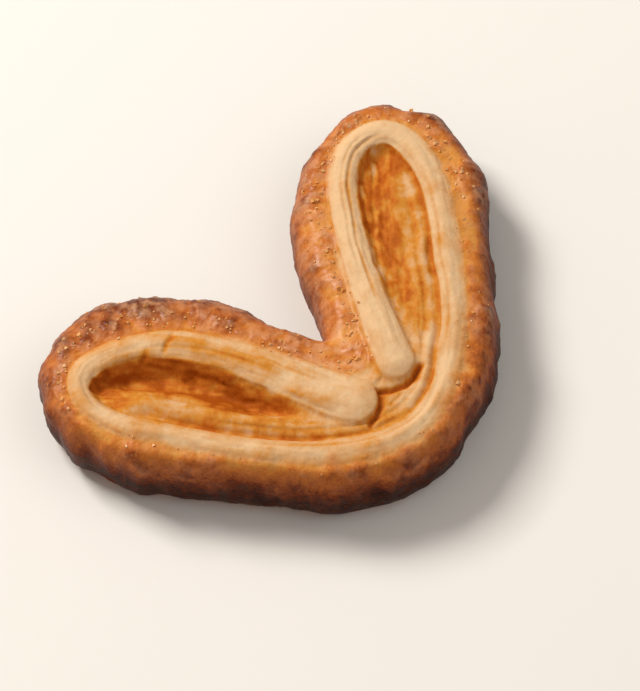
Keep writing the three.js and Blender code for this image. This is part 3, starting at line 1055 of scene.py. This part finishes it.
class PALMIER_OT_sugar(bpy.types.Operator):
    """Scatter grains of baked sugar over the crust"""

    bl_idname = "palmier.sugar"
    bl_label = "Sugar"

    def execute(self, context):
        settings = context.scene.palmier_sugar
        rng = np.random.default_rng(settings.seed)
        mesh = bpy.data.objects["palmier_pastry"].data
        points = stored(mesh.vertices, "co", 3)
        normals = stored(mesh.vertices, "normal", 3)
        chances = stored(mesh.attributes["sugar"].data, "value")
        chances *= smoothstep(normals[:, 2], *GRAIN_TILT)
        chances /= chances.sum()
        at = rng.choice(len(points), settings.grains, replace=False, p=chances)
        sizes = rng.lognormal(0, GRAIN_SPREAD, settings.grains).clip(*GRAIN_LIMITS)
        sizes = settings.grain_size * sizes
        vertices, faces = crystals(points[at], normals[at], sizes, rng)
        material = baked_sugar_material(colour_codes())
        piece = new_object("sugar_grains", vertices, faces, material, smooth=False)
        browned = rng.uniform(*GRAIN_BROWNED, settings.grains)
        add_attribute(piece, "browned", np.repeat(browned, len(vertices) // len(at)))
        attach(piece, "root")
        return {"FINISHED"}


def add_light(name, place, aim, watts, side, colour):
    """A square area light at a place, turned to face the aim."""
    light = bpy.data.lights.new(name, "AREA")
    light.energy = watts
    light.size = side
    light.color = linear(colour)[:3]
    lamp = bpy.data.objects.new(name, light)
    lamp.location = place
    lamp.rotation_euler = (aim - place).to_track_quat("-Z", "Y").to_euler()
    bpy.context.scene.collection.objects.link(lamp)


class PALMIER_OT_stage(bpy.types.Operator):
    """Add the floor, the soft lights and the camera"""

    bl_idname = "palmier.stage"
    bl_label = "Studio"

    def execute(self, context):
        stage = context.scene.palmier_stage
        material, tree = new_material("matt_white_board")
        shader = add_node(tree, "ShaderNodeBsdfPrincipled", None, {
            "Base Color": linear(stage.floor_colour), "Roughness": 0.8,
        }).outputs["BSDF"]
        add_node(tree, "ShaderNodeOutputMaterial", None, {"Surface": shader})
        corners = FLOOR_REACH * np.array([(-1, -1, 0), (1, -1, 0), (1, 1, 0), (-1, 1, 0)])
        floor = new_object("floor", corners, [[0, 1, 2, 3]], material, smooth=False)

        azimuth, elevation = stage.azimuth, stage.elevation
        back = Vector((math.sin(azimuth) * math.cos(elevation),
                       -math.cos(azimuth) * math.cos(elevation), math.sin(elevation)))
        level = Vector((math.cos(azimuth), math.sin(azimuth), 0))
        above = back.cross(level)
        right = level * math.cos(stage.roll) - above * math.sin(stage.roll)
        up = level * math.sin(stage.roll) + above * math.cos(stage.roll)
        aim = Vector(AIM)
        data = bpy.data.cameras.new("camera")
        data.sensor_fit = "HORIZONTAL"
        data.lens = stage.lens
        data.clip_end = CAMERA_SEES
        camera = bpy.data.objects.new("camera", data)
        turn = Matrix((right, up, back)).transposed().to_4x4()
        camera.matrix_world = Matrix.Translation(aim + back * stage.distance) @ turn
        context.scene.collection.objects.link(camera)
        context.scene.camera = camera

        away = Vector((-math.sin(azimuth), math.cos(azimuth), 0))
        for name, (forward, sideways, height), watts, side, colour in LAMPS:
            place = away * forward + level * sideways + Vector((0, 0, height))
            add_light(name, place, aim, watts, side, colour)
        world = bpy.data.worlds.new("soft_daylight")
        world.use_nodes = True
        background = world.node_tree.nodes["Background"]
        background.inputs["Color"].default_value = linear(SKY_COLOUR)
        background.inputs["Strength"].default_value = SKY_STRENGTH
        context.scene.world = world
        context.scene.view_settings.view_transform = "Standard"
        return {"FINISHED"}


class PALMIER_PT_panel(bpy.types.Panel):
    """Lists the pastry's sizes, colours and steps in the sidebar"""

    bl_label = "Palmier"
    bl_space_type = "VIEW_3D"
    bl_region_type = "UI"
    bl_category = "Palmier"

    def draw(self, context):
        for group in GROUPS:
            settings = getattr(context.scene, group)
            column = self.layout.column()
            for name in type(settings).__annotations__:
                column.prop(settings, name)
        for operator in OPERATORS:
            self.layout.operator(operator.bl_idname)


OPERATORS = (PALMIER_OT_pastry, PALMIER_OT_sugar, PALMIER_OT_stage)
GROUPS = {
    "palmier_sizes": PalmierSizes,
    "palmier_sugar": SugarSettings,
    "palmier_colours": PalmierColours,
    "palmier_stage": StageSettings,
}


def register():
    """Registers the classes and puts the settings into every scene."""
    for kind in (*GROUPS.values(), *OPERATORS, PALMIER_PT_panel):
        bpy.utils.register_class(kind)
    for name, kind in GROUPS.items():
        setattr(bpy.types.Scene, name, bpy.props.PointerProperty(type=kind))


def unregister():
    """Takes the settings and the classes away again."""
    for name in GROUPS:
        delattr(bpy.types.Scene, name)
    for kind in (PALMIER_PT_panel, *OPERATORS, *GROUPS.values()):
        bpy.utils.unregister_class(kind)


def main():
    """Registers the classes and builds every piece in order."""
    register()
    bpy.ops.palmier.pastry()
    bpy.ops.palmier.sugar()
    bpy.ops.palmier.stage()


if __name__ == "__main__":
    main()
